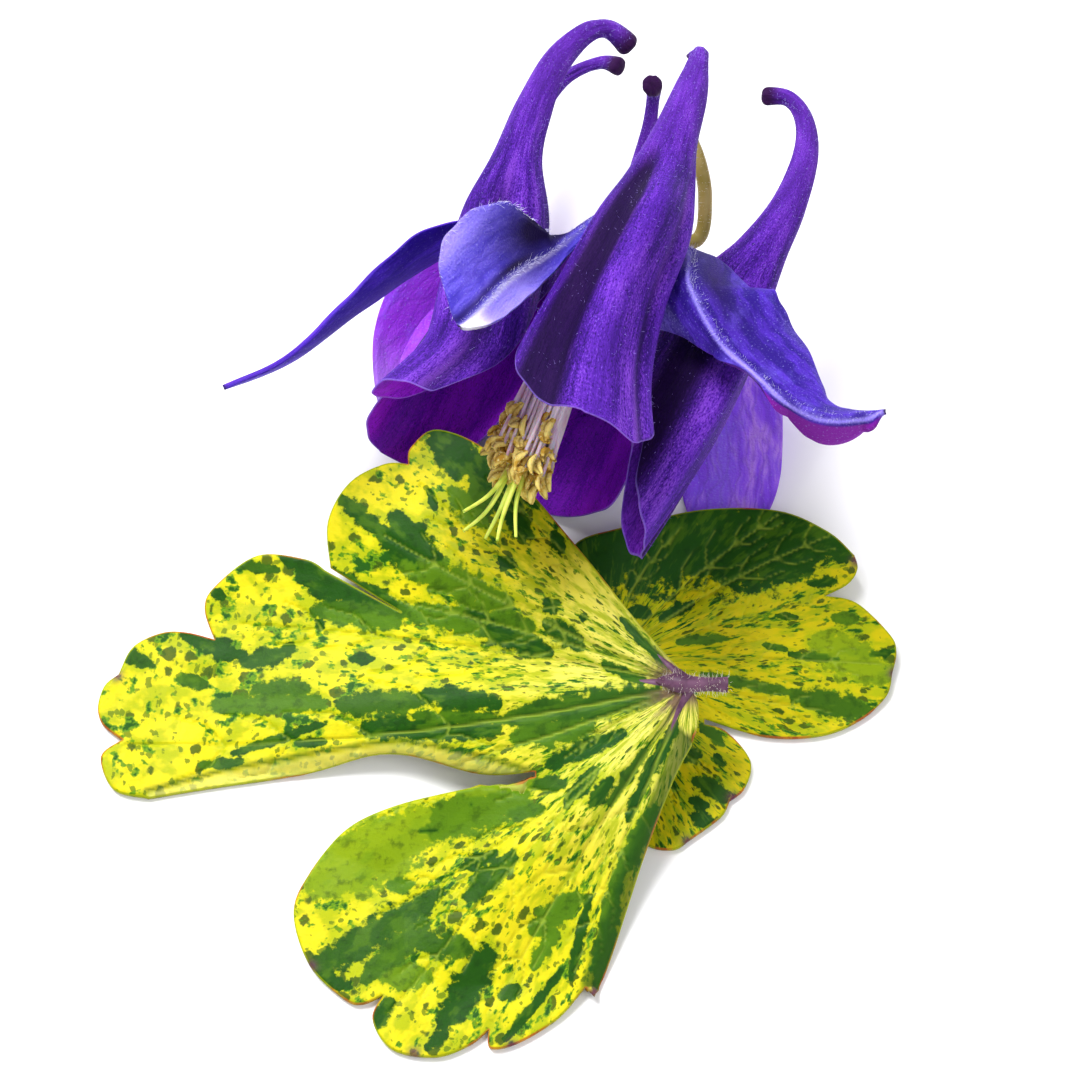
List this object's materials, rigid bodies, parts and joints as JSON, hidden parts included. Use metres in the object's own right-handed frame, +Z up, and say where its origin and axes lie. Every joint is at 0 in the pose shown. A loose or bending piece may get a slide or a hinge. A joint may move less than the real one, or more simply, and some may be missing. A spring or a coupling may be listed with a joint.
{
  "type": "picked columbine flower with two leaflets",
  "caption": "Picked columbine flower lying on its side, with spurred petals, spread sepals and a stamen bundle, over two lobed, variegated leaflets.",
  "frame": {"origin": "on the surface the flower and leaflets lie on, below the middle of the bounding box", "axes": "+Z up from the surface; +Y along the table from the leaflets towards the tips of the flower's spurs; +X across, towards the side where the back leaflet lies"},
  "size_m": [0.0523, 0.0674, 0.0263],
  "materials": {
    "petal": "deep violet petal tissue, fine velvety sheen, faint lengthwise veins",
    "sepal": "blue-violet sepal tissue, netted veins, short white hairs",
    "stalk": "olive-brown, finely hairy stem",
    "stamens": "yellow-brown powdery anthers on pale lilac filaments",
    "pistil": "pale green, slightly glossy styles",
    "leaf_front": "variegated leaf, yellow with green flecks and patches, satin",
    "leaf_back": "variegated leaf, yellow with large green patches, satin"
  },
  "bodies": {
    "root": {"petal_front": "petal", "petal_right": "petal", "petal_rear": "petal", "petal_rear_left": "petal", "petal_left": "petal", "sepal_left": "sepal", "sepal_front_left": "sepal", "sepal_right": "sepal", "sepal_rear_right": "sepal", "sepal_rear_left": "sepal", "stalk": "stalk", "stamens": "stamens", "pistil": "pistil", "leaflet_front": "leaf_front", "leaflet_back": "leaf_back"}
  },
  "joints": []
}
